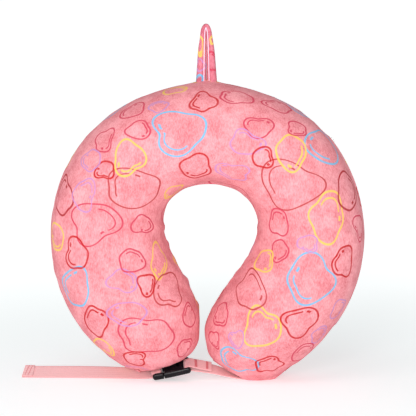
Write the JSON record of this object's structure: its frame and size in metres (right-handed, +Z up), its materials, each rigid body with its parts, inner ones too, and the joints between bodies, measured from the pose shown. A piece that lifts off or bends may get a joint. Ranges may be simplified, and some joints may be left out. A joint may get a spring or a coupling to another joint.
{
  "type": "u shaped neck pillow",
  "caption": "U-shaped foam travel neck pillow in a zipped velour cover, with a hang loop and a buckled strap, standing on its tips",
  "frame": {"origin": "On the ground, under the middle of the whole object, strap tail included", "axes": "+Z up, +Y away from the front of the pillow, +X to the viewer's right; the strap's tail points to -X"},
  "size_m": [0.3321, 0.1042, 0.3488],
  "materials": {
    "velour": "brushed velour with a printed line pattern",
    "knit": "thin knit",
    "foam": "open-cell memory foam",
    "webbing": "flat woven polyester webbing",
    "thread": "dense stitching",
    "buckle": "moulded black acetal",
    "zip_tape": "woven tape",
    "zip_coil": "nylon coil",
    "zip_metal": "nickel plated"
  },
  "bodies": {
    "pillow": {"front_cover": "velour", "back_cover": "velour", "hang_loop": "velour", "inner_liner": "knit", "foam_core": "foam", "left_strap": "webbing", "tail_hem": "webbing", "right_strap": "webbing", "male_buckle": "buckle", "zip_tape_front": "zip_tape", "zip_tape_back": "zip_tape", "zip_coil_front": "zip_coil", "zip_coil_back": "zip_coil", "zip_top_stop": "zip_metal", "zip_bottom_stop": "zip_metal"},
    "socket": {"female_buckle": "buckle", "bar_tack_inner": "thread", "bar_tack_outer": "thread"},
    "near_prong": {"near_prong": "buckle"},
    "far_prong": {"far_prong": "buckle"},
    "slider": {"zip_slider": "zip_metal"},
    "pull": {"zip_pull": "zip_metal"}
  },
  "joints": [
    {"name": "buckle_release", "type": "slide", "parent": "pillow", "child": "socket", "axis": [0.9816, 0, 0.1908], "range_m": [0, 0.017], "deforming": ["right_strap", "bar_tack_inner", "bar_tack_outer", "near_prong", "far_prong"]},
    {"name": "near_prong_press", "type": "hinge", "parent": "pillow", "child": "near_prong", "pos_m": [-0.02593, -0.00576, 0.0076], "axis": [-0.1715, -0.4384, 0.8823], "range_deg": [0, 13], "stiffness_Nm_per_rad": 0.05},
    {"name": "far_prong_press", "type": "hinge", "parent": "pillow", "child": "far_prong", "pos_m": [-0.02682, 0.00376, 0.01216], "axis": [0.1715, 0.4384, -0.8823], "range_deg": [0, 13], "stiffness_Nm_per_rad": 0.05},
    {"name": "zip_run", "type": "hinge", "parent": "pillow", "child": "slider", "pos_m": [0.0164, 0, 0.1426], "axis": [0, 1, 0], "range_deg": [0, 69]},
    {"name": "zip_pull_swing", "type": "hinge", "parent": "slider", "child": "pull", "pos_m": [0.13794, 0, 0.23586], "axis": [0, -1, 0], "range_deg": [0, 150]}
  ]
}
